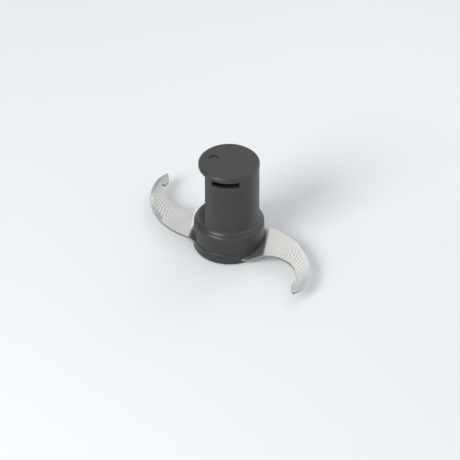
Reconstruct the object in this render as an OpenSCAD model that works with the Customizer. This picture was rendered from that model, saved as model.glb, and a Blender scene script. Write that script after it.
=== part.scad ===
// Food processor blade: an S-shaped steel cutter clamped in a moulded hub,
// which drops over the post in the middle of the bowl.
// Origin on the axis of rotation at the underside of the base ring, +Z up.

/* [Hub] */
// Overall height, from the underside of the base ring to the top of the cap
hub_h = 68; // [63:0.5:76]
// How far the bell stands out past the stem just below its shoulder
shoulder_step = 3.4; // [3:0.1:4.4]
// How much wider the bell is at its lower edge than under the shoulder
bell_draft = 0.1; // [0:0.1:1]
// Height of the top of the shoulder's round
shoulder_z = 22.3; // [20:0.1:26]
// Radius of the rounded shoulder
shoulder_round = 3.2; // [2:0.1:4]
// Radius of the hollow fillet that runs from the stem into the shoulder's round
neck_fillet = 4.5; // [2:0.1:6]
// Wall thickness of the bell and the stem
wall = 2.2; // [1.6:0.1:2.6]
// Depth of the flat grip face below the round of the stem
grip_depth = 4.1; // [1:0.1:4.2]
// Height of the grip face's foot above the top of the shoulder
grip_foot = 2; // [1.4:0.1:6]

/* [Finger notch] */
// Height of the finger notch under the lip of the cap
notch_h = 3.9; // [2.5:0.1:3.9]
// Direction of the middle of the notch about the axis
notch_dir = 263; // [255:1:280]
// Angle that the notch spans
notch_span = 55; // [30:1:62]

/* [Cap] */
// Thickness of the cap's disc
cap_t = 3.2; // [1.6:0.1:4]
// How far the disc stands out past the stem
cap_lip = 0.2; // [0:0.05:0.6]
// Chamfer round the top edge of the disc
cap_chamfer = 1; // [0.2:0.1:1.4]
// Depth of the spigot that plugs into the stem
spigot_h = 5; // [3:0.5:6]
// Wall of the spigot
spigot_t = 1.4; // [1:0.1:2]
// Radius of the round gate dimple in the top of the cap
gate_r = 3.4; // [1:0.1:4]
// Depth of the gate dimple
gate_depth = 0.6; // [0.2:0.1:0.8]

/* [Post tube and drive] */
// Radius of the bore that turns on the bowl's post
post_bore_r = 12.5; // [11:0.1:14]
// Wall of the post tube
tube_wall = 1.9; // [1.5:0.1:2.2]
// Space for the ribs between the post tube and the wall of the stem
tube_gap = 3.3; // [2:0.1:4]
// Height of the open end of the post tube above the base
tube_foot_z = 0.8; // [0.4:0.1:1.6]
// Depth of the well over the deck, below the rim of the stem
well_depth = 7.3; // [6.4:0.1:9]
// Step between the bore and the rim of the drive insert's flange
bore_step = 1.5; // [1:0.1:2]
// Width of the drive insert's flange
flange_w = 3.1; // [2.6:0.1:4]
// Thickness of the drive insert's flange
flange_t = 2; // [1.4:0.1:3]
// Height of the drive insert's body above its flange
insert_h = 11.4; // [9:0.2:13]
// Wall of the drive insert at the corners of its hexagonal socket
insert_wall = 2.7; // [2:0.1:3.4]
// Roof of the drive insert over its socket
insert_roof = 2; // [1.4:0.1:3]

/* [Base ring] */
// Height of the seam between the base ring and the bell
seam_z = 8.3; // [6:0.1:9]
// Thickness of the base ring's floor, on which the blade lies
floor_t = 2.6; // [1.8:0.1:3]
// Radius of the rounded edge under the base ring
foot_round = 2; // [1:0.1:2.4]
// Width of the fine bevels that meet at the seam
seam_bevel = 0.35; // [0.1:0.05:0.6]
// How far the base ring stands out past the bell at the seam
ring_step = 0.3; // [0:0.05:0.5]
// Radius of the welding pins
pin_r = 1.25; // [1:0.05:1.4]
// Height of the welding pins above the blade
pin_h = 7; // [4:0.5:9]
// Angle of each pin from the line across the blade's bends
pin_turn = 68; // [62:1:72]

/* [S blade] */
// Thickness of the steel
steel_t = 1.6; // [1.2:0.1:2]
// Radius of the circle that the tips sweep in the bowl
sweep_r = 76.4; // [74:0.2:79]
// Radius of the outer cutting edge
edge_r = 47.9; // [47:0.1:49]
// How far the outer edge reaches to the left of the axis
edge_x = 52.8; // [51:0.1:55]
// Centre of the outer edge's arc, behind the axis
edge_y = 37.8; // [37:0.1:39]
// Radius of the hollow inner edge
bay_r = 19.8; // [18:0.1:20.4]
// Centre of the inner edge's arc, to the left of the axis
bay_x = 23.6; // [23:0.1:25]
// Centre of the inner edge's arc, behind the axis
bay_y = 44.8; // [44:0.1:47]
// Radius of the inner side of the nose at the tip
nose_r = 13.9; // [12:0.1:16]
// How far the nose stands into the bay past the hollow inner edge
nose_out = 3.1; // [1.6:0.1:4]
// Height of the barb behind the middle of the bay
nose_from = 7.5; // [5:0.1:8.4]
// Distance from the barb to the widest place of the nose
nose_rise = 6.2; // [5:0.1:8]
// Height of the wings above the root of the blade
crank_rise = 5.4; // [3:0.1:6]
// Slope of the cranked stretch between root and wing
crank_slope = 30; // [26:1:40]
// Distance of the outer bend line from the axis
bend_s = 26; // [25.4:0.1:28]
// Direction of the line across the bends, clockwise from the X axis
crank_dir = 9.4; // [4:0.2:14]

/* [Cutting edge] */
// Width of the ground bevel along the outer edge
bevel_w = 2.8; // [1.5:0.1:4]
// Thickness that the bevel leaves at the edge
edge_land = 0.35; // [0.2:0.05:0.8]
// Distance between serration flutes along the edge
flute_pitch = 2.3; // [1.8:0.1:4]
// Radius of each flute
flute_r = 0.9; // [0.5:0.1:1.2]
// Depth of each flute below the bevel
flute_depth = 0.28; // [0.1:0.02:0.4]
// Depth of the notch behind the barb, past the hollow inner edge
barb_depth = 1.4; // [0.4:0.1:2]
// How far the barb's point hangs back towards the hub
barb_hook = 1.4; // [0.6:0.1:2]

/* [Hidden] */
$fn = 96;

// Clearances between pieces
fit_gap = 0.1;
loose_gap = 0.3;
slot_gap = 0.15;
pin_gap = 0.25;
// How far a cutter runs past the face that it cuts
past = 1;

// Radii and heights of the hub
tube_r = post_bore_r + tube_wall;
stem_in_r = tube_r + tube_gap;
stem_r = stem_in_r + wall;
bell_r = stem_r + shoulder_step;
grip_flat = stem_r - grip_depth;
seam_r = bell_r + bell_draft;
ring_r = seam_r + ring_step;
bell_in_r = bell_r - wall;
stem_top = hub_h - cap_t;
round_z = shoulder_z - shoulder_round;
grip_foot_z = shoulder_z + grip_foot;
// Centres of the shoulder's round and of the neck's fillet, which touch each other
round_x = bell_r - shoulder_round;
fillet_x = stem_r + neck_fillet;
fillet_z = round_z + sqrt(pow(neck_fillet + shoulder_round, 2) - pow(fillet_x - round_x, 2));
deck_t = 2;
deck_z = stem_top - well_depth - deck_t;
seat_z = deck_z - fit_gap - insert_h;
ceiling_z = seat_z - flange_t;
rib_t = 1.4;
rib_embed = 0.5;
rib_angles = [0, pin_turn, 180 - pin_turn, 180, 180 + pin_turn, 360 - pin_turn];

// Radii of the drive insert
flange_r = post_bore_r - bore_step;
insert_r = flange_r - flange_w;

// Place of the gate dimple on the cap
gate_x = stem_r / 2;
gate_y = stem_r / 6;

// The blade's root, its pins and the bosses that hold it down
root_z = floor_t;
root_top = root_z + steel_t;
ring_in_r = tube_r + loose_gap;
ring_out_r = bell_in_r - loose_gap;
pin_path_r = (tube_r + bell_in_r) / 2;
boss_r = 2.6;
boss_roof = 3;
boss_top = root_top + pin_h + boss_roof;
pin_angles = [pin_turn, 180 - pin_turn, 180 + pin_turn, 360 - pin_turn];

// The cranked sheet, seen along its bend lines
wing_z = root_z + crank_rise;
wing_top = wing_z + steel_t;
rib_foot_z = wing_top + rib_embed;
inner_bend_s = bend_s - crank_rise / tan(crank_slope);
sheet_reach = sweep_r + past;

// Centre of the outer edge's arc, to the left of the axis
edge_mid_x = edge_x - edge_r;

// The nose of each wing: its centre lies on the outer edge's side
nose_x = bay_x + bay_r + nose_r - nose_out;
nose_from_y = bay_y + nose_from;
nose_y = nose_from_y + nose_rise;
barb_x = -nose_x + sqrt(pow(nose_r, 2) - pow(nose_rise + barb_hook, 2));
// Where the wing's straight inner root edge runs in under the bell
root_edge_x = 8;
root_edge_y = bell_in_r + 1;

// The ground bevel, as angles about the centre of the outer edge
bevel_from = 141;
bevel_to = 214;
flute_from = 150;
flute_to = 208;
flute_step = flute_pitch / edge_r * 180 / PI;
bevel_drop = steel_t - edge_land;
bevel_slope = atan(bevel_drop / bevel_w);

// Outside of the bell and the stem, as a half section
module hub_outside() {
    polygon([[0, seam_z], [seam_r - seam_bevel, seam_z], [seam_r, seam_z + seam_bevel],
             [bell_r, round_z], [0, round_z]]);
    translate([round_x, round_z]) circle(shoulder_round);
    translate([0, seam_z]) square([stem_r, stem_top - seam_z]);
    difference() {
        polygon([[stem_r - past, round_z], [round_x, round_z], [fillet_x, fillet_z],
                 [stem_r - past, fillet_z]]);
        translate([fillet_x, fillet_z]) circle(neck_fillet);
    }
}

// Hollow of the bell and the stem, as a half section
module hub_hollow() {
    polygon([[0, -past], [bell_in_r, -past], [bell_in_r, round_z], [stem_in_r, shoulder_z - wall],
             [stem_in_r, stem_top + past], [0, stem_top + past]]);
}

// Post tube, the ceiling over it, the socket for the insert and the deck, as a half section
module core_section() {
    translate([post_bore_r, tube_foot_z]) square([tube_wall, ceiling_z - tube_foot_z]);
    difference() {
        translate([insert_r + fit_gap, ceiling_z])
            square([tube_r - insert_r - fit_gap, flange_t + wall]);
        translate([0, ceiling_z - past]) square([flange_r + fit_gap, flange_t + past]);
    }
    translate([insert_r + fit_gap, seat_z]) square([wall, deck_z - seat_z]);
    translate([0, deck_z]) square([stem_in_r + rib_embed, deck_t]);
}

// One stiffening rib between the post tube and the shell, as a half section
module rib_section() {
    polygon([[tube_r - rib_embed, rib_foot_z], [bell_in_r + rib_embed, rib_foot_z],
             [bell_in_r + rib_embed, round_z], [stem_in_r + rib_embed, shoulder_z - wall],
             [stem_in_r + rib_embed, seat_z + wall], [tube_r - rib_embed, seat_z + wall]]);
}

// Line of the cranked sheet, raised by lift from its underside
function sheet_line(lift) =
    let (shift = lift * tan(crank_slope / 2), a = inner_bend_s - shift, b = bend_s - shift)
    [[-sheet_reach, wing_z + lift], [-b, wing_z + lift], [-a, root_z + lift],
     [a, root_z + lift], [b, wing_z + lift], [sheet_reach, wing_z + lift]];

// Turns a section seen along the bend lines into a solid
module along_bends() {
    rotate([0, 0, -crank_dir]) rotate([90, 0, 0])
        linear_extrude(2 * sheet_reach, center = true) children();
}

// Everything above the cranked sheet's line at the given lift, up to a height
module above_sheet(lift, top) {
    along_bends() polygon(concat(sheet_line(lift), [[sheet_reach, top], [-sheet_reach, top]]));
}

// The steel sheet itself, bent but not cut out
module cranked_sheet() {
    low = sheet_line(0);
    high = sheet_line(steel_t);
    along_bends() polygon(concat(low, [for (i = [len(high) - 1 : -1 : 0]) high[i]]));
}

// Plan of the left wing, grown by gap for the slot that it comes out of
module wing_plan(gap = 0) {
    difference() {
        intersection() {
            translate([-edge_mid_x, edge_y]) circle(edge_r + gap, $fn = 180);
            circle(sweep_r, $fn = 180);
            union() {
                polygon([[0, 0], [0, -edge_r], [-2 * edge_r, -edge_r], [-2 * edge_r, nose_from_y],
                         [-bay_x, nose_from_y], [-bay_x, bay_y - bay_r + gap],
                         [-root_edge_x, root_edge_y + gap]]);
                intersection() {
                    translate([-nose_x, nose_y]) circle(nose_r);
                    translate([-2 * edge_r, nose_from_y - past]) square(2 * edge_r);
                }
            }
        }
        translate([-bay_x, bay_y]) circle(bay_r - gap);
        polygon([[-bay_x - bay_r, bay_y], [-bay_x - bay_r - barb_depth, nose_from_y],
                 [barb_x, nose_from_y - barb_hook], [-bay_x, bay_y]]);
    }
}

// Plan of the whole S blade
module blade_plan() {
    difference() {
        union() {
            circle(ring_out_r);
            for (turn = [0, 180]) rotate(turn) wing_plan();
        }
        circle(ring_in_r);
        for (a = pin_angles) rotate(a - crank_dir)
            translate([pin_path_r, 0]) circle(pin_r + pin_gap, $fn = 32);
    }
}

// What the grinding wheel takes off above the outer edge
module bevel_cut() {
    outside = edge_r + past;
    translate([-edge_mid_x, edge_y, 0]) rotate([0, 0, bevel_from])
        rotate_extrude(angle = bevel_to - bevel_from, $fn = 180)
            polygon([[edge_r - bevel_w, wing_top], [edge_r - bevel_w, wing_top + past],
                     [outside, wing_top + past],
                     [outside, wing_top - bevel_drop * (bevel_w + past) / bevel_w]]);
}

// Serration flutes, ground across the bevel down its slope
module flutes() {
    translate([-edge_mid_x, edge_y, 0]) for (a = [flute_from : flute_step : flute_to])
        rotate([0, 0, a]) translate([edge_r - bevel_w, 0, wing_top])
            rotate([0, 90 + bevel_slope, 0]) translate([-(flute_r - flute_depth), 0, -past / 2])
                cylinder(h = bevel_w + 2 * past, r = flute_r, $fn = 16);
}

// Parts of the shell that reach down over the wings and press on the steel
module tongues() {
    intersection() {
        rotate_extrude() polygon([[bell_in_r, root_top], [seam_r - seam_bevel, root_top],
                                  [seam_r - seam_bevel, seam_z + past], [bell_in_r, seam_z + past]]);
        linear_extrude(seam_z + 2 * past) for (turn = [0, 180]) rotate(turn) wing_plan();
        above_sheet(steel_t, seam_z + 2 * past);
    }
}

// Room in the shell for the steel where it slopes up past the seam
module sheet_room() {
    intersection() {
        rotate_extrude() translate([bell_in_r - past, 0])
            square([seam_r - bell_in_r + 2 * past, round_z]);
        linear_extrude(round_z) for (turn = [0, 180]) rotate(turn) wing_plan(slot_gap);
        along_bends() polygon(concat(sheet_line(steel_t), [[sheet_reach, 0], [-sheet_reach, 0]]));
    }
}

// Wall behind the grip flat, which the round shell doesn't reach, and the floor at the flat's foot
module grip_wall() {
    intersection() {
        rotate_extrude() difference() {
            hub_outside();
            square([post_bore_r + tube_wall / 2, hub_h]);
        }
        union() {
            translate([-grip_flat, -stem_r, shoulder_z - wall])
                cube([wall, 2 * stem_r, stem_top - shoulder_z + wall]);
            translate([-stem_r, -stem_r, grip_foot_z - wall])
                cube([stem_r - grip_flat + wall, 2 * stem_r, wall]);
        }
    }
}

// Shell of the bell and the stem, with the post tube, ribs, bosses and deck moulded in
module hub_body() color("#4b4b4d") difference() {
    union() {
        rotate_extrude() {
            difference() {
                hub_outside();
                hub_hollow();
                square([seam_r + past, seam_z]);
            }
            core_section();
        }
        for (a = rib_angles) rotate([0, 0, a - crank_dir])
            rotate([90, 0, 0]) linear_extrude(rib_t, center = true) rib_section();
        for (a = pin_angles) rotate([0, 0, a - crank_dir]) translate([pin_path_r, 0, root_top])
            cylinder(h = boss_top - root_top, r = boss_r, $fn = 32);
        tongues();
        grip_wall();
    }
    sheet_room();
    translate([-grip_flat - stem_r, -stem_r, grip_foot_z])
        cube([stem_r, 2 * stem_r, hub_h]);
    rotate([0, 0, notch_dir - notch_span / 2]) rotate_extrude(angle = notch_span)
        translate([stem_in_r - past, stem_top - notch_h]) square([wall + 2 * past, notch_h + past]);
    for (a = pin_angles) rotate([0, 0, a - crank_dir]) translate([pin_path_r, 0, root_top - past])
        cylinder(h = pin_h + 2 * past, r = pin_r + fit_gap, $fn = 32);
}

// Disc on top of the stem, plugged in by a spigot that is open at the notch
module top_cap() color("#505052") difference() {
    disc_r = stem_r + cap_lip;
    spigot_r = stem_in_r - fit_gap;
    union() {
        rotate_extrude() polygon([[0, stem_top], [disc_r, stem_top], [disc_r, hub_h - cap_chamfer],
                                  [disc_r - cap_chamfer, hub_h], [0, hub_h]]);
        difference() {
            translate([0, 0, stem_top - spigot_h]) cylinder(h = spigot_h + cap_t / 2, r = spigot_r);
            translate([0, 0, stem_top - spigot_h - past])
                cylinder(h = spigot_h + past, r = spigot_r - spigot_t);
            translate([-grip_flat + wall + fit_gap - stem_r, -stem_r, stem_top - spigot_h - past])
                cube([stem_r, 2 * stem_r, spigot_h + past]);
            rotate([0, 0, notch_dir - notch_span / 2]) rotate_extrude(angle = notch_span)
                translate([spigot_r - spigot_t - past, stem_top - spigot_h - past])
                    square([spigot_t + 2 * past, spigot_h + past]);
        }
    }
    translate([-gate_x, gate_y, hub_h - gate_depth]) cylinder(h = past, r = gate_r, $fn = 48);
}

// Stamped and cranked steel cutter: one plate with a ring at its middle and two wings
module s_blade() color("#c4c6c8") difference() {
    intersection() {
        cranked_sheet();
        linear_extrude(wing_top + past) blade_plan();
    }
    for (turn = [0, 180]) rotate([0, 0, turn]) {
        bevel_cut();
        flutes();
    }
}

// Ring under the blade, welded to the hub by four pins through the blade
module base_ring() color("#48484a") {
    difference() {
        rotate_extrude() difference() {
            union() {
                translate([0, foot_round]) square([ring_r, seam_z - seam_bevel - foot_round]);
                square([ring_r - foot_round, seam_z]);
                translate([ring_r - foot_round, foot_round]) circle(foot_round);
                polygon([[bell_in_r, seam_z - past], [ring_r, seam_z - past],
                         [ring_r, seam_z - seam_bevel], [ring_r - seam_bevel, seam_z],
                         [bell_in_r, seam_z]]);
            }
            translate([0, -past]) square([ring_in_r, seam_z + 2 * past]);
            translate([0, floor_t]) square([bell_in_r, seam_z]);
        }
        intersection() {
            linear_extrude(seam_z + past) for (turn = [0, 180]) rotate(turn) wing_plan(slot_gap);
            above_sheet(0, seam_z + 2 * past);
        }
    }
    for (a = pin_angles) rotate([0, 0, a - crank_dir]) translate([pin_path_r, 0, floor_t / 2])
        cylinder(h = root_top + pin_h - floor_t / 2, r = pin_r, $fn = 32);
}

// Sleeve with the hexagonal socket that takes the spindle
module drive_insert() color("#d8d5cc") difference() {
    union() {
        translate([0, 0, ceiling_z]) cylinder(h = flange_t, r = flange_r);
        translate([0, 0, ceiling_z]) cylinder(h = flange_t + insert_h, r = insert_r);
    }
    translate([0, 0, ceiling_z - past])
        cylinder(h = flange_t + insert_h - insert_roof + past, r = insert_r - insert_wall, $fn = 6);
}

hub_body();
top_cap();
s_blade();
base_ring();
drive_insert();
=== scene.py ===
import math

import bmesh
import bpy
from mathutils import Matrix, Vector


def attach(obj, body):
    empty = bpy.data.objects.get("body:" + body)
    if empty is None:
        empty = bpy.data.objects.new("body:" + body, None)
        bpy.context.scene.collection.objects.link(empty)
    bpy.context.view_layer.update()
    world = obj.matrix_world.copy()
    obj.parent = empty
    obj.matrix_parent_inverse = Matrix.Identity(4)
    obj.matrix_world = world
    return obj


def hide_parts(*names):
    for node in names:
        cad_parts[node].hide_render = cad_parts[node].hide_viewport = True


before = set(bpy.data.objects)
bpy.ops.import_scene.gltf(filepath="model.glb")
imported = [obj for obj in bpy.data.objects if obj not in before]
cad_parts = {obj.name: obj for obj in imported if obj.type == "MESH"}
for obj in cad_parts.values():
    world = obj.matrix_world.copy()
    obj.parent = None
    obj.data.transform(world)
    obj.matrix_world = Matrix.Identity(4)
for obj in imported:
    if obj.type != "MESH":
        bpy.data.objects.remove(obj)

bl_info = {
    "name": "Food processor blade",
    "version": (1, 0, 0),
    "blender": (4, 2, 0),
    "location": "3D View > Sidebar > Blade",
    "description": "Dresses the solids of a food processor blade and sets a plain studio round them",
    "category": "Object",
}

MM = 0.001
BODY = "root"

# Cleaning of the CAD meshes: how close doubles lie, and how flat faces are that become one
DOUBLES = 0.002 * MM
FLAT_SOLID = math.radians(0.2)
FLAT_PLAN = math.radians(0.5)
CUT_SLACK = 0.001 * MM

# Edges sharper than these are rounded, or stay crisp in the shading
MOULDED_SHARP = math.radians(30)
STAMPED_SHARP = math.radians(50)
GROUND_SHARP = math.radians(18)
ROUND_STEPS = 2
BEND_STEPS = 14

# Grinding of the outer edge: rows along the bevel, its run-out at both ends and its least
# width there, how far the cut reaches past the sheet, and the wheel's sides and length
BEVEL_ROWS = 97
RUN_OUT = math.radians(6)
LEAST_BEVEL = 0.02 * MM
PAST = 1.0 * MM
WHEEL_SIDES = 20
WHEEL_LENGTH = 1.7

# Telling the finishes apart: faces steeper than this are side walls, and the bevel starts
# within these distances of its inner line and of the upper face
STEEP = 0.35
BEVEL_SLACK = 0.2 * MM
UPPER_SLACK = 0.02 * MM

# Moulded plastic: blotches of the mould's flow in a metre, their tint, and the grain's bump
FLOW_BLOTCHES = 70.0
FLOW_TINT = 0.14
GRAIN_STRENGTH = 0.25
GRAIN_HEIGHT = 0.04 * MM

# Ground faces: pitch of the lines, clouds in a metre, how far the crossed marks fade out at
# both ends, tints of the lines with the clouds and of the marks, and the bump of both
LINE_PITCH = 0.9 * MM
CLOUDS = 90.0
MARK_EASE = math.radians(9)
GROUND_TINT = 0.22
MARK_TINT = 0.7
# How much darker the ground colour is drawn at the tips
GROUND_TIP_DARKENING = 0.45
GROUND_STRENGTH = 0.3
GROUND_HEIGHT = 0.05 * MM

# Sheared walls: pitch of the streaks, how much they are drawn out upwards, and their tint
STREAK_PITCH = 0.8 * MM
STREAK_SQUEEZE = 0.15
SHEAR_TINT = 0.2
SHEAR_ROUGHNESS = (0.42, 0.6)

# Honed bevel: pitch of the lines across the edge and their tint
HONE_PITCH = 0.7 * MM
HONE_TINT = 0.15
# How much darker the honed colour is drawn at the tips
HONE_TIP_DARKENING = 0.7
HONE_ROUGHNESS = (0.3, 0.42)

# Soft square lights: name, place, aim, size in metres and power in watts
LIGHTS = (
    ("key", (-1.0, -1.03, 0.96), (0, 0, 0.02), 0.8, 18.4),
    ("fill", (1.1, -0.9, 0.8), (0, 0, 0.02), 0.9, 0.8),
    # Close behind the right wing, so that this wing shines more than the left one
    ("card", (0.17, 0.26, 0.33), (0.05, -0.03, 0.01), 0.18, 0.17),
)
AIR_COLOUR = (0.99, 0.995, 1.0, 1)
SENSOR = 36
CLIP_END = 20
FLOOR_REACH = 6
FLOOR_ROUGHNESS = 0.9
# Height of the ways, as a sine, from which the walls turn into the ceiling
WALL_TOP = 0.5


def linear(code):
    """Turns a six digit sRGB code into linear red, green and blue"""
    parts = [int(code[i:i + 2], 16) / 255 for i in (0, 2, 4)]
    return [p / 12.92 if p <= 0.04045 else ((p + 0.055) / 1.055) ** 2.4 for p in parts]


def length(name, description, default):
    """A length property, its default given in millimetres"""
    return bpy.props.FloatProperty(
        name=name, description=description, default=default * MM, unit="LENGTH", precision=5)


def colour(name, description, code):
    """A colour property, its default given as an sRGB code"""
    return bpy.props.FloatVectorProperty(
        name=name, description=description, default=linear(code), subtype="COLOR", size=3,
        min=0, max=1)


def share(name, description, default):
    """A property from 0 to 1"""
    return bpy.props.FloatProperty(
        name=name, description=description, default=default, min=0, max=1, subtype="FACTOR")


def angle(name, description, degrees):
    """An angle property, its default given in degrees"""
    return bpy.props.FloatProperty(
        name=name, description=description, default=math.radians(degrees), subtype="ANGLE",
        unit="ROTATION")


class PlasticSettings(bpy.types.PropertyGroup):
    """Moulded pieces: the hub, the cap, the base ring and the drive insert"""

    hub_colour: colour("Hub colour", "Charcoal of the hub", "2e2e2f")
    cap_colour: colour("Cap colour", "Charcoal of the cap, a shade lighter than the hub", "303031")
    ring_colour: colour("Ring colour", "Charcoal of the base ring", "2d2d2e")
    insert_colour: colour("Insert colour", "Undyed acetal of the drive insert", "dedace")
    roughness: share("Roughness", "How dull the moulded surface is", 0.38)
    gloss: share("Gloss", "Strength of the reflections, with 0.5 as on bare plastic", 0.5)
    grain: length("Grain", "Size of the spark-eroded grain", 0.5)
    edge_round: length("Edge round", "Radius on the moulded edges", 0.25)


class SteelSettings(bpy.types.PropertyGroup):
    """The S blade"""

    steel_colour: colour("Steel colour", "Ground faces of the blade", "d5d5d2")
    # The side walls' colour is darker than the ground faces partly for the duller sheared finish and
    # partly as painted shade on the upright walls
    shear_and_shade_colour: colour("Sheared colour", "Duller side walls, as the press leaves them", "9c9c9a")
    honed_colour: colour("Honed colour", "Bevel along the outer edge", "cacbcb")
    roughness: share("Roughness", "How dull the ground faces are", 0.42)
    edge_round: length("Edge round", "Radius left on the stamped edges", 0.12)
    thickness: length("Thickness", "Thickness of the sheet", 1.6)
    bend_radius: length("Bend radius", "Inner radius of the bends", 2.2)
    bend_outer: length("Outer bend", "From the axis to the bend where the wing levels out", 26)
    bend_slope: angle("Bend slope", "Slope between the bends", 30)
    bend_turn: angle("Bend turn", "Turn of the bend lines about the axis", 9.4)
    edge_centre_x: length("Edge centre X", "Centre of the left wing's outer edge, across", -4.9)
    edge_centre_y: length("Edge centre Y", "Centre of the left wing's outer edge, along", 37.8)
    edge_radius: length("Edge radius", "Radius of the outer edge", 47.9)
    bevel_width: length("Bevel width", "Width of the ground bevel", 2.8)
    edge_land: length("Edge land", "Steel left at the cutting edge", 0.35)
    bevel_from: angle("Bevel from", "Start of the bevel about the edge's centre", 141)
    bevel_to: angle("Bevel to", "End of the bevel about the edge's centre", 214)
    flute_from: angle("Flutes from", "Place of the first flute", 150)
    flute_to: angle("Flutes to", "Place of the last flute", 208)
    flute_pitch: length("Flute pitch", "Distance between the flutes", 2.3)
    flute_radius: length("Flute radius", "Radius of the wheel that grinds the flutes", 0.9)
    flute_depth: length("Flute depth", "Depth of the flutes under the bevel", 0.28)
    grind_across: length("Marks across", "Pitch of the crossed marks, across the wing", 2.6)
    grind_along: length("Marks along", "Pitch of the crossed marks, along the wing", 4.2)
    grind_from: angle("Grinding from", "Start of the crossed marks about the edge's centre", 182)
    grind_to: angle("Grinding to", "End of the crossed marks about the edge's centre", 208)
    # Between these distances from the axis the steel's colour is drawn darker towards the tips
    darker_from: length("Dull from", "Distance from the axis where the duller tip begins", 61)
    darker_to: length("Dull to", "Distance from the axis where the tip is dullest", 72)


class StageSettings(bpy.types.PropertyGroup):
    """Camera, floor and studio"""

    floor_colour: colour("Floor colour", "Pale floor", "f4f8fa")
    wall_colour: colour("Wall colour", "Walls of the studio, seen at the sides and in the steel",
                        "f6f7f7")
    ambient: share("Ambient", "Strength of the even light from all round", 0.57)
    wall: bpy.props.FloatProperty(
        name="Wall", description="Brightness of the walls", default=1.1, min=0)
    ceiling: share("Ceiling", "Brightness of the ceiling", 0.5)
    side_lift: share("Side lift", "How much the right wall is brighter than the middle, and the "
                     "left one darker", 0.55)
    elevation: angle("Elevation", "Height of the camera above the horizon", 38)
    distance: length("Distance", "From the camera to its target", 3000)
    view_width: length("View width", "Width of the picture at the target", 303.6)
    target_x: length("Target X", "Where the camera looks, across", 0.6)
    target_z: length("Target Z", "Where the camera looks, above the floor", 11.2)


def add_node(tree, kind, sockets=None, **fields):
    """Adds a node, sets its fields, and fills its sockets with values or links"""
    made = tree.nodes.new(kind)
    for key, value in fields.items():
        setattr(made, key, value)
    for socket, value in (sockets or {}).items():
        if isinstance(value, bpy.types.NodeSocket):
            tree.links.new(value, made.inputs[socket])
        else:
            made.inputs[socket].default_value = value
    return made


def maths(tree, operation, *values):
    """One sum on values or sockets"""
    return add_node(tree, "ShaderNodeMath", dict(enumerate(values)), operation=operation).outputs[0]


def between(tree, value, low, high, out_low, out_high):
    """Maps a value from one range to another and keeps it there"""
    return add_node(tree, "ShaderNodeMapRange", {
        "Value": value, "From Min": low, "From Max": high, "To Min": out_low,
        "To Max": out_high}).outputs["Result"]


def length_of(tree, vector):
    """Length of a vector"""
    return add_node(tree, "ShaderNodeVectorMath", {0: vector}, operation="LENGTH").outputs["Value"]


def noise(tree, scale, detail, sockets, **fields):
    """Noise from 0 to 1, its scale in cells a metre"""
    sockets = {"Scale": scale, "Detail": detail, **sockets}
    return add_node(tree, "ShaderNodeTexNoise", sockets, **fields).outputs[0]


def shaded(tree, base, value, depth):
    """A colour that a value of 1 makes lighter by a share, and a value of 0 as much darker"""
    factor = maths(tree, "MULTIPLY_ADD", value, 2 * depth, 1 - depth)
    return add_node(tree, "ShaderNodeVectorMath", {0: tuple(base), "Scale": factor},
                    operation="SCALE").outputs[0]


def new_material(name, sockets=None):
    """A material with only a principled shader, and single values set on its sockets"""
    material = bpy.data.materials.new(name)
    material.use_nodes = True
    shader = material.node_tree.nodes["Principled BSDF"]
    for socket, value in (sockets or {}).items():
        shader.inputs[socket].default_value = value
    return material, material.node_tree, shader


def drive(tree, shader, colour_socket, roughness_socket):
    """Links a colour and a roughness to a shader"""
    tree.links.new(colour_socket, shader.inputs["Base Color"])
    tree.links.new(roughness_socket, shader.inputs["Roughness"])


def raise_bump(tree, shader, height, strength, distance):
    """Gives a shader a bump"""
    bump = add_node(tree, "ShaderNodeBump", {
        "Height": height, "Strength": strength, "Distance": distance})
    tree.links.new(bump.outputs[0], shader.inputs["Normal"])


def satin_plastic(name, base, settings):
    """Moulded plastic: a fine grain that softens the highlights, and a faint mottle of flow"""
    material, tree, shader = new_material(name, {"Specular IOR Level": settings.gloss})
    place = add_node(tree, "ShaderNodeTexCoord").outputs["Object"]
    # The real grain is about 0.15 mm, so it is drawn coarser to survive at this picture's scale
    grain = noise(tree, 1 / settings.grain, 3.0, {"Vector": place, "Roughness": 0.6})
    flow = noise(tree, FLOW_BLOTCHES, 4.0, {"Vector": place, "Roughness": 0.55})
    rough = settings.roughness
    drive(tree, shader, shaded(tree, base, flow, FLOW_TINT),
          between(tree, flow, 0.3, 0.7, rough - 0.05, rough + 0.06))
    raise_bump(tree, shader, grain, GRAIN_STRENGTH, GRAIN_HEIGHT)
    return material


def wing_polar(tree, steel):
    """Place, and radius and angle about the centre of the outer edge, alike on both wings"""
    place = add_node(tree, "ShaderNodeTexCoord").outputs["Object"]
    parts = add_node(tree, "ShaderNodeSeparateXYZ", {0: place}).outputs
    side = maths(tree, "MULTIPLY", maths(tree, "SIGN", parts[0]), -1.0)
    across = maths(tree, "SUBTRACT", maths(tree, "MULTIPLY", parts[0], side), steel.edge_centre_x)
    along = maths(tree, "SUBTRACT", maths(tree, "MULTIPLY", parts[1], side), steel.edge_centre_y)
    flat = add_node(tree, "ShaderNodeCombineXYZ", {0: across, 1: along}).outputs[0]
    # The angle is measured from the -X side, so that it has no jump along the wings
    turn = maths(tree, "ARCTAN2", maths(tree, "MULTIPLY", along, -1.0),
                 maths(tree, "MULTIPLY", across, -1.0))
    return place, length_of(tree, flat), turn


def darker_tips(tree, place, steel, depth):
    """0 along the wings, and up to a depth at the tips, where the colour is drawn darker"""
    return between(tree, length_of(tree, place), steel.darker_from, steel.darker_to, 0.0, depth)


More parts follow.
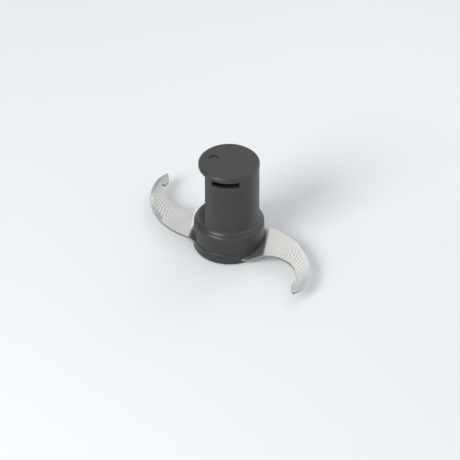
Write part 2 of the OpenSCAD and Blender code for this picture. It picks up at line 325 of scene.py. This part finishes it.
def crossed_marks(tree, radius, turn, steel):
    """Marks of two passes of the belt, from -1 to 1, and 0 outside the ground stretch"""
    # Each pass is a wave, one over the radius and one over the arc
    arc = maths(tree, "MULTIPLY", turn, steel.edge_radius)
    waves = [maths(tree, "SINE", maths(tree, "MULTIPLY", way, 2 * math.pi / pitch))
             for way, pitch in ((radius, steel.grind_across), (arc, steel.grind_along))]
    cross = between(tree, maths(tree, "MULTIPLY", *waves), -0.5, 0.5, -1.0, 1.0)
    low, high = steel.grind_from - math.pi, steel.grind_to - math.pi
    mask = maths(tree, "MULTIPLY",
                 between(tree, turn, low - MARK_EASE, low + MARK_EASE, 0.0, 1.0),
                 between(tree, turn, high - MARK_EASE, high + MARK_EASE, 1.0, 0.0))
    # The belt crosses the upper face only
    normal = add_node(tree, "ShaderNodeNewGeometry").outputs["Normal"]
    upward = add_node(tree, "ShaderNodeSeparateXYZ", {0: normal}).outputs[2]
    mask = maths(tree, "MULTIPLY", mask, maths(tree, "GREATER_THAN", upward, 0.0))
    return maths(tree, "MULTIPLY", cross, mask)


def ground_steel(name, steel):
    """Stainless sheet with lines ground along the wings, and crossed marks where they curl"""
    material, tree, shader = new_material(name, {"Metallic": 1.0})
    place, radius, turn = wing_polar(tree, steel)
    lines = noise(tree, 1 / LINE_PITCH, 4.0, {"W": radius, "Roughness": 0.7},
                  noise_dimensions="1D")
    cloud = noise(tree, CLOUDS, 3.0, {"Vector": place})
    marks = crossed_marks(tree, radius, turn, steel)
    tone = maths(tree, "ADD", maths(tree, "MULTIPLY", lines, 0.5),
                 maths(tree, "MULTIPLY", cloud, 0.5))
    tone = maths(tree, "ADD", tone, maths(tree, "MULTIPLY", marks, MARK_TINT))
    # The colour is drawn darker towards the tips
    tone = maths(tree, "SUBTRACT", tone, darker_tips(tree, place, steel, GROUND_TIP_DARKENING))
    drive(tree, shader, shaded(tree, steel.steel_colour, tone, GROUND_TINT),
          between(tree, lines, 0.2, 0.8, steel.roughness - 0.08, steel.roughness + 0.1))
    raise_bump(tree, shader, maths(tree, "ADD", lines, marks), GROUND_STRENGTH, GROUND_HEIGHT)
    return material


def sheared_and_shaded_steel(name, steel):
    """Side walls as the press leaves them: duller, with upright streaks, and darker partly for that
    finish and partly as painted shade
    """
    material, tree, shader = new_material(name, {"Metallic": 1.0})
    place = add_node(tree, "ShaderNodeTexCoord").outputs["Object"]
    squeezed = add_node(tree, "ShaderNodeMapping", {
        "Vector": place, "Scale": (1.0, 1.0, STREAK_SQUEEZE)}).outputs[0]
    streaks = noise(tree, 1 / STREAK_PITCH, 3.0, {"Vector": squeezed})
    drive(tree, shader, shaded(tree, steel.shear_and_shade_colour, streaks, SHEAR_TINT),
          between(tree, streaks, 0.2, 0.8, *SHEAR_ROUGHNESS))
    return material


def honed_steel(name, steel):
    """The bevel: a finer, brighter grind with its lines across the cutting edge"""
    material, tree, shader = new_material(name, {"Metallic": 1.0})
    place, _, turn = wing_polar(tree, steel)
    arc = maths(tree, "MULTIPLY", turn, steel.edge_radius)
    lines = noise(tree, 1 / HONE_PITCH, 3.0, {"W": arc}, noise_dimensions="1D")
    # The colour is drawn darker towards the tips
    tone = maths(tree, "SUBTRACT", lines, darker_tips(tree, place, steel, HONE_TIP_DARKENING))
    drive(tree, shader, shaded(tree, steel.honed_colour, tone, HONE_TINT),
          between(tree, lines, 0.2, 0.8, *HONE_ROUGHNESS))
    return material


def add_object(name, data):
    """A new object in the scene"""
    made = bpy.data.objects.new(name, data)
    bpy.context.scene.collection.objects.link(made)
    return made


def mesh_object(name, work):
    """A new object in the scene with the mesh that was worked on"""
    mesh = bpy.data.meshes.new(name)
    work.to_mesh(mesh)
    work.free()
    return add_object(name, mesh)


def cad_work(node):
    """A CAD node's mesh to work on, its doubles merged"""
    work = bmesh.new()
    work.from_mesh(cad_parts[node].data)
    bmesh.ops.remove_doubles(work, verts=work.verts, dist=DOUBLES)
    return work


def make_whole(work, flat):
    """Dissolves the lines between faces that lie flat within an angle"""
    bmesh.ops.dissolve_limit(work, angle_limit=flat, verts=work.verts, edges=work.edges)


def apply_modifiers(piece):
    """Turns an object with live modifiers into a plain mesh"""
    graph = bpy.context.evaluated_depsgraph_get()
    mesh = bpy.data.meshes.new_from_object(piece.evaluated_get(graph))
    piece.modifiers.clear()
    piece.data = mesh


def round_edges(piece, radius, sharp):
    """Rounds the edges over an angle"""
    bevel = piece.modifiers.new("edges", "BEVEL")
    bevel.width = radius
    bevel.segments = ROUND_STEPS
    bevel.limit_method = "ANGLE"
    bevel.angle_limit = sharp
    apply_modifiers(piece)


def smooth_faces(piece, sharp):
    """Shades a piece smooth apart from edges over an angle, its large faces kept flat"""
    piece.data.shade_smooth()
    work = bmesh.new()
    work.from_mesh(piece.data)
    for edge in work.edges:
        if len(edge.link_faces) == 2:
            edge.smooth = edge.calc_face_angle(0) < sharp
    work.to_mesh(piece.data)
    work.free()
    weights = piece.modifiers.new("weights", "WEIGHTED_NORMAL")
    weights.keep_sharp = True
    apply_modifiers(piece)


def stand_for(piece, node, slot, *materials):
    """Gives a piece its materials and sets it in a CAD node's place"""
    piece.data.materials.clear()
    for material in materials:
        piece.data.materials.append(material)
    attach(piece, BODY)
    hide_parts(node)


class BLADE_OT_hub(bpy.types.Operator):
    """Dress the moulded hub, the cap, the base ring and the drive insert"""

    bl_idname = "blade.hub"
    bl_label = "Moulded pieces"

    def execute(self, context):
        plastic = context.scene.blade_plastic
        pieces = [
            ("hub_body", "hub_shell", "hub_plastic", plastic.hub_colour),
            ("top_cap", "cap_disc", "cap_plastic", plastic.cap_colour),
            ("base_ring", "foot_ring", "ring_plastic", plastic.ring_colour),
            ("drive_insert", "drive_sleeve", "insert_plastic", plastic.insert_colour),
        ]
        for node, name, slot, base in pieces:
            work = cad_work(node)
            make_whole(work, FLAT_SOLID)
            piece = mesh_object(name, work)
            round_edges(piece, plastic.edge_round, MOULDED_SHARP)
            smooth_faces(piece, MOULDED_SHARP)
            stand_for(piece, node, slot, satin_plastic(slot, base, plastic))
        return {"FINISHED"}


class Crank:
    """Height of the cranked sheet along a line square to its bends, with rounded bends"""

    def __init__(self, steel):
        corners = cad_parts["s_blade"].bound_box
        self.low = min(corner[2] for corner in corners)
        self.high = max(corner[2] for corner in corners) - steel.thickness
        self.outer = steel.bend_outer
        self.inner = steel.bend_outer - (self.high - self.low) / math.tan(steel.bend_slope)
        self.slope = steel.bend_slope
        self.radius = steel.bend_radius
        self.thickness = steel.thickness
        self.axis = Vector((math.cos(steel.bend_turn), -math.sin(steel.bend_turn), 0))

    def along(self, point):
        """Distance of a point from the axis, square to the bends"""
        return abs(point.dot(self.axis))

    def height(self, point, lift):
        """Height of the sheet's underside, or of its top where lift is the thickness"""
        at = self.along(point)
        low, high = self.low + lift, self.high + lift
        half = math.tan(self.slope / 2)
        inner, outer = self.inner - lift * half, self.outer - lift * half
        # The first bend curves up and the second one down: their inner radii are on opposite faces
        first = self.radius + self.thickness - lift
        second = self.radius + lift
        lead, tail = first * half, second * half
        if at < inner - lead:
            return low
        if at < inner + lead * math.cos(self.slope):
            return low + first - math.sqrt(first ** 2 - (at - inner + lead) ** 2)
        if at < outer - tail * math.cos(self.slope):
            return low + (at - inner) * math.tan(self.slope)
        if at < outer + tail:
            return high - second + math.sqrt(second ** 2 - (outer + tail - at) ** 2)
        return high

    def cuts(self):
        """Distances at which the sheet needs a row of vertices to take its bends"""
        reach = (self.radius + self.thickness) * math.tan(self.slope / 2) + self.thickness / 2
        return [bend + reach * (2 * i / BEND_STEPS - 1)
                for bend in (self.inner, self.outer) for i in range(BEND_STEPS + 1)]


def blade_plan(crank):
    """The blade's plan as one flat layer that faces down, cut where the sheet bends"""
    work = cad_work("s_blade")
    upper = [face for face in work.faces if face.normal.z > -0.5]
    bmesh.ops.delete(work, geom=upper, context="FACES")
    for vert in work.verts:
        vert.co.z = 0
    make_whole(work, FLAT_PLAN)
    for sign in (-1, 1):
        for cut in crank.cuts():
            everything = [*work.verts, *work.edges, *work.faces]
            bmesh.ops.bisect_plane(work, geom=everything, plane_co=crank.axis * sign * cut,
                                   plane_no=crank.axis, dist=CUT_SLACK)
    bmesh.ops.triangulate(work, faces=work.faces)
    for face in work.faces:
        if face.normal.z > 0:
            face.normal_flip()
    return work


def blade_blank(name, crank):
    """The stamped and bent sheet before grinding: its plan given thickness and round bends"""
    work = blade_plan(crank)
    bottom = list(work.faces)
    made = bmesh.ops.duplicate(work, geom=bottom)
    twins = made["vert_map"]
    top_faces = [item for item in made["geom"] if isinstance(item, bmesh.types.BMFace)]
    bmesh.ops.reverse_faces(work, faces=top_faces)
    for edge in {edge for face in bottom for edge in face.edges if edge.is_boundary}:
        loop = edge.link_loops[0]
        a, b = loop.vert, loop.link_loop_next.vert
        work.faces.new((b, a, twins[a], twins[b]))
    for vert in {vert for face in bottom for vert in face.verts}:
        twins[vert].co.z = crank.height(vert.co, crank.thickness)
        vert.co.z = crank.height(vert.co, 0)
    bmesh.ops.recalc_face_normals(work, faces=work.faces)
    return mesh_object(name, work)


def polar_point(tree, centre, radius, turn, height):
    """A point given by its radius and angle about a centre"""
    across = maths(tree, "MULTIPLY_ADD", maths(tree, "COSINE", turn), radius, centre.x)
    along = maths(tree, "MULTIPLY_ADD", maths(tree, "SINE", turn), radius, centre.y)
    return add_node(tree, "ShaderNodeCombineXYZ", {0: across, 1: along, 2: height}).outputs[0]


def join(tree, *parts):
    """Geometry joined into one"""
    joined = add_node(tree, "GeometryNodeJoinGeometry")
    for part in parts:
        tree.links.new(part, joined.inputs[0])
    return joined.outputs[0]


def bevel_cutter(tree, given, centre, top, slope):
    """A block laid round the arc, whose sloping floor cuts the bevel"""
    block = add_node(tree, "GeometryNodeMeshCube", {
        "Size": (1, 1, 1), "Vertices X": 2, "Vertices Y": BEVEL_ROWS,
        "Vertices Z": 2}).outputs["Mesh"]
    position = add_node(tree, "GeometryNodeInputPosition").outputs[0]
    local = add_node(tree, "ShaderNodeSeparateXYZ", {0: position}).outputs
    out, way, up = [maths(tree, "ADD", local[i], 0.5) for i in range(3)]
    turn = maths(tree, "MULTIPLY_ADD", way,
                 maths(tree, "SUBTRACT", given["To"], given["From"]), given["From"])
    # The wheel runs out at both ends, so the bevel fades there
    to_end = maths(tree, "MINIMUM", maths(tree, "SUBTRACT", turn, given["From"]),
                   maths(tree, "SUBTRACT", given["To"], turn))
    ease = maths(tree, "MINIMUM", maths(tree, "DIVIDE", to_end, given["Run Out"]), 1.0)
    ease = maths(tree, "SINE", maths(tree, "MULTIPLY", ease, math.pi / 2))
    width = maths(tree, "MAXIMUM", maths(tree, "MULTIPLY", given["Bevel Width"], ease),
                  LEAST_BEVEL)
    reach = maths(tree, "MULTIPLY", maths(tree, "ADD", width, PAST), out)
    radius = maths(tree, "ADD", maths(tree, "SUBTRACT", given["Edge Radius"], width), reach)
    base = maths(tree, "SUBTRACT", top, maths(tree, "MULTIPLY", reach, slope))
    height = maths(tree, "MULTIPLY_ADD", up, maths(tree, "SUBTRACT", top + PAST, base), base)
    return add_node(tree, "GeometryNodeSetPosition", {
        "Geometry": block,
        "Position": polar_point(tree, centre, radius, turn, height)}).outputs[0]


def flute_cutters(tree, given, centre, top, slope):
    """Cylinders laid down the bevel's slope at equal steps"""
    tilt = maths(tree, "ARCTANGENT", slope)
    rod = add_node(tree, "GeometryNodeMeshCylinder", {
        "Vertices": WHEEL_SIDES, "Radius": given["Flute Radius"],
        "Depth": maths(tree, "MULTIPLY", given["Bevel Width"], WHEEL_LENGTH)}).outputs["Mesh"]
    index = add_node(tree, "GeometryNodeInputIndex").outputs[0]
    place = maths(tree, "MULTIPLY_ADD", index, given["Flute Step"], given["Flute From"])
    lift = maths(tree, "SUBTRACT", given["Flute Radius"], given["Flute Depth"])
    half = maths(tree, "MULTIPLY", given["Bevel Width"], 0.5)
    radius = maths(tree, "MULTIPLY_ADD", maths(tree, "SINE", tilt), lift,
                   maths(tree, "SUBTRACT", given["Edge Radius"], half))
    height = maths(tree, "MULTIPLY_ADD", maths(tree, "COSINE", tilt), lift,
                   maths(tree, "SUBTRACT", top, maths(tree, "MULTIPLY", half, slope)))
    points = add_node(tree, "GeometryNodePoints", {
        "Count": given["Flutes"],
        "Position": polar_point(tree, centre, radius, place, height)}).outputs[0]
    lean = maths(tree, "ADD", tilt, math.pi / 2)
    rods = add_node(tree, "GeometryNodeInstanceOnPoints", {
        "Points": points, "Instance": rod,
        "Rotation": add_node(tree, "ShaderNodeCombineXYZ", {1: lean, 2: place}).outputs[0]})
    return add_node(tree, "GeometryNodeRealizeInstances", {0: rods.outputs[0]}).outputs[0]


def ground_edge_tree(centre, top):
    """Geometry nodes that grind the bevel and the flutes along the outer edge of both wings"""
    tree = bpy.data.node_groups.new("ground_edge", "GeometryNodeTree")
    sockets = {"Geometry": "Geometry"}
    for name in ("Edge Radius", "Bevel Width", "Bevel Drop", "From", "To", "Run Out",
                 "Flute From", "Flute Step", "Flute Radius", "Flute Depth"):
        sockets[name] = "Float"
    sockets.update({"Flutes": "Int", "Material": "Material"})
    for name, kind in sockets.items():
        tree.interface.new_socket(name, in_out="INPUT", socket_type="NodeSocket" + kind)
    tree.interface.new_socket("Geometry", in_out="OUTPUT", socket_type="NodeSocketGeometry")
    given = tree.nodes.new("NodeGroupInput").outputs
    slope = maths(tree, "DIVIDE", given["Bevel Drop"], given["Bevel Width"])
    one_side = join(tree, flute_cutters(tree, given, centre, top, slope),
                    bevel_cutter(tree, given, centre, top, slope))
    other_side = add_node(tree, "GeometryNodeTransform", {
        "Geometry": one_side, "Rotation": (0, 0, math.pi)}).outputs[0]
    cut = add_node(tree, "GeometryNodeMeshBoolean", {
        "Mesh 1": given["Geometry"], "Mesh 2": join(tree, one_side, other_side),
        "Self Intersection": True}, operation="DIFFERENCE", solver="EXACT")
    real = add_node(tree, "GeometryNodeRealizeInstances", {0: cut.outputs["Mesh"]}).outputs[0]
    done = add_node(tree, "GeometryNodeSetMaterial", {
        "Geometry": real, "Material": given["Material"]})
    tree.links.new(done.outputs[0], tree.nodes.new("NodeGroupOutput").inputs[0])
    return tree


def run_nodes(piece, tree, values):
    """Runs a geometry node tree on a piece, its inputs given by name, and keeps the result"""
    modifier = piece.modifiers.new(tree.name, "NODES")
    modifier.node_group = tree
    for item in tree.interface.items_tree:
        if item.in_out == "INPUT" and item.name in values:
            modifier[item.identifier] = values[item.name]
    apply_modifiers(piece)


class BLADE_OT_steel(bpy.types.Operator):
    """Make the S blade: bend the blank, then grind the bevel and the flutes into it"""

    bl_idname = "blade.steel"
    bl_label = "S blade"

    def execute(self, context):
        steel = context.scene.blade_steel
        ground = ground_steel("ground_stainless", steel)
        crank = Crank(steel)
        piece = blade_blank("s_blade_ground", crank)
        round_edges(piece, steel.edge_round, STAMPED_SHARP)
        centre = Vector((steel.edge_centre_x, steel.edge_centre_y, 0))
        step = steel.flute_pitch / steel.edge_radius
        run_nodes(piece, ground_edge_tree(centre, crank.high + crank.thickness), {
            "Edge Radius": steel.edge_radius,
            "Bevel Width": steel.bevel_width,
            "Bevel Drop": steel.thickness - steel.edge_land,
            "From": steel.bevel_from,
            "To": steel.bevel_to,
            "Run Out": RUN_OUT,
            "Flute From": steel.flute_from,
            "Flute Step": step,
            "Flute Radius": steel.flute_radius,
            "Flute Depth": steel.flute_depth,
            "Flutes": int((steel.flute_to - steel.flute_from) / step) + 1,
            "Material": ground,
        })
        smooth_faces(piece, GROUND_SHARP)
        # The side walls' material carries painted shade as well as the sheared finish
        stand_for(piece, "s_blade", "blade_steel", ground,
                  sheared_and_shaded_steel("sheared_shaded_stainless", steel),
                  honed_steel("honed_stainless", steel))
        for face in piece.data.polygons:
            face.material_index = self.finish_of(face, centre, steel, crank)
        return {"FINISHED"}

    def finish_of(self, face, centre, steel, crank):
        """Which finish a face has: 0 ground, 1 sheared by the press and given painted shade, 2 the
        honed bevel
        """
        if abs(face.normal.z) < STEEP:
            return 1
        middle = face.center * (1 if face.center.x < 0 else -1)
        out = (Vector((middle.x, middle.y, 0)) - centre).length
        facing_up = face.normal.z > STEEP
        past_line = out > steel.edge_radius - steel.bevel_width - BEVEL_SLACK
        below_top = face.center.z < crank.high + crank.thickness - UPPER_SLACK
        on_wing = crank.along(middle) > crank.outer
        return 2 if facing_up and past_line and below_top and on_wing else 0


def aim(thing, place, target):
    """Sets a camera or a light in a place and turns it to a target"""
    way = Vector(target) - Vector(place)
    thing.location = place
    thing.rotation_mode = "QUATERNION"
    thing.rotation_quaternion = way.to_track_quat("-Z", "Y")


class BLADE_OT_stage(bpy.types.Operator):
    """Set the camera, the pale floor and the soft light"""

    bl_idname = "blade.stage"
    bl_label = "Stage"

    def execute(self, context):
        stage = context.scene.blade_stage
        self.camera(context.scene, stage)
        self.floor(stage)
        self.world(context.scene, stage)
        for name, place, target, size, power in LIGHTS:
            data = bpy.data.lights.new(name, "AREA")
            data.size = size
            data.energy = power
            aim(add_object(name, data), place, target)
        context.scene.view_settings.view_transform = "Standard"
        return {"FINISHED"}

    def camera(self, scene, stage):
        """The camera looks from the front, at the height and width of the photograph"""
        data = bpy.data.cameras.new("camera")
        data.sensor_width = SENSOR
        data.lens = SENSOR * stage.distance / stage.view_width
        data.clip_end = CLIP_END
        target = Vector((stage.target_x, 0, stage.target_z))
        back = Vector((0, -math.cos(stage.elevation), math.sin(stage.elevation)))
        scene.camera = add_object("camera", data)
        aim(scene.camera, target + back * stage.distance, target)

    def floor(self, stage):
        """A pale matt floor, which takes the shadow and gives no shine"""
        work = bmesh.new()
        bmesh.ops.create_grid(work, x_segments=1, y_segments=1, size=FLOOR_REACH)
        floor = mesh_object("floor", work)
        material, _, _ = new_material("floor", {
            "Base Color": (*stage.floor_colour, 1), "Roughness": FLOOR_ROUGHNESS,
            "Specular IOR Level": 0.0})
        floor.data.materials.append(material)

    def world(self, scene, stage):
        """Even light for matt surfaces, and a studio that is seen directly and in the steel"""
        world = bpy.data.worlds.new("studio")
        world.use_nodes = True
        tree = world.node_tree
        scene.world = world
        light = tree.nodes["Background"]
        light.inputs["Color"].default_value = AIR_COLOUR
        light.inputs["Strength"].default_value = stage.ambient
        # The walls are brighter than the ceiling, which keeps the bevels apart from the flats
        ways = add_node(tree, "ShaderNodeTexCoord").outputs["Generated"]
        parts = add_node(tree, "ShaderNodeSeparateXYZ", {0: ways}).outputs
        lift = stage.side_lift
        strength = maths(tree, "MULTIPLY", between(tree, parts[0], -1.0, 1.0, 1 - lift, 1 + lift),
                         between(tree, parts[2], WALL_TOP, 1.0, stage.wall, stage.ceiling))
        seen = add_node(tree, "ShaderNodeBackground", {
            "Color": (*stage.wall_colour, 1), "Strength": strength})
        ray = add_node(tree, "ShaderNodeLightPath").outputs
        mask = maths(tree, "MAXIMUM", ray["Is Camera Ray"], ray["Is Glossy Ray"])
        mask = maths(tree, "MAXIMUM", mask, ray["Is Transmission Ray"])
        mix = add_node(tree, "ShaderNodeMixShader", {
            0: mask, 1: light.outputs[0], 2: seen.outputs[0]})
        tree.links.new(mix.outputs[0], tree.nodes["World Output"].inputs["Surface"])


OPERATORS = (BLADE_OT_hub, BLADE_OT_steel, BLADE_OT_stage)
GROUPS = {
    "blade_plastic": PlasticSettings,
    "blade_steel": SteelSettings,
    "blade_stage": StageSettings,
}


class BLADE_PT_panel(bpy.types.Panel):
    """Sizes, colours and steps of the blade"""

    bl_label = "Food processor blade"
    bl_idname = "BLADE_PT_panel"
    bl_space_type = "VIEW_3D"
    bl_region_type = "UI"
    bl_category = "Blade"

    def draw(self, context):
        for group in GROUPS:
            settings = getattr(context.scene, group)
            box = self.layout.box()
            for name in settings.bl_rna.properties.keys():
                if name not in ("rna_type", "name"):
                    box.prop(settings, name)
        for operator in OPERATORS:
            self.layout.operator(operator.bl_idname)


def register():
    for kind in (*GROUPS.values(), *OPERATORS, BLADE_PT_panel):
        bpy.utils.register_class(kind)
    for name, kind in GROUPS.items():
        setattr(bpy.types.Scene, name, bpy.props.PointerProperty(type=kind))


def unregister():
    for name in GROUPS:
        delattr(bpy.types.Scene, name)
    for kind in (BLADE_PT_panel, *reversed(OPERATORS), *reversed(GROUPS.values())):
        bpy.utils.unregister_class(kind)


def main():
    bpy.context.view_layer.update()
    register()
    bpy.ops.blade.hub()
    bpy.ops.blade.steel()
    bpy.ops.blade.stage()


if __name__ == "__main__":
    main()
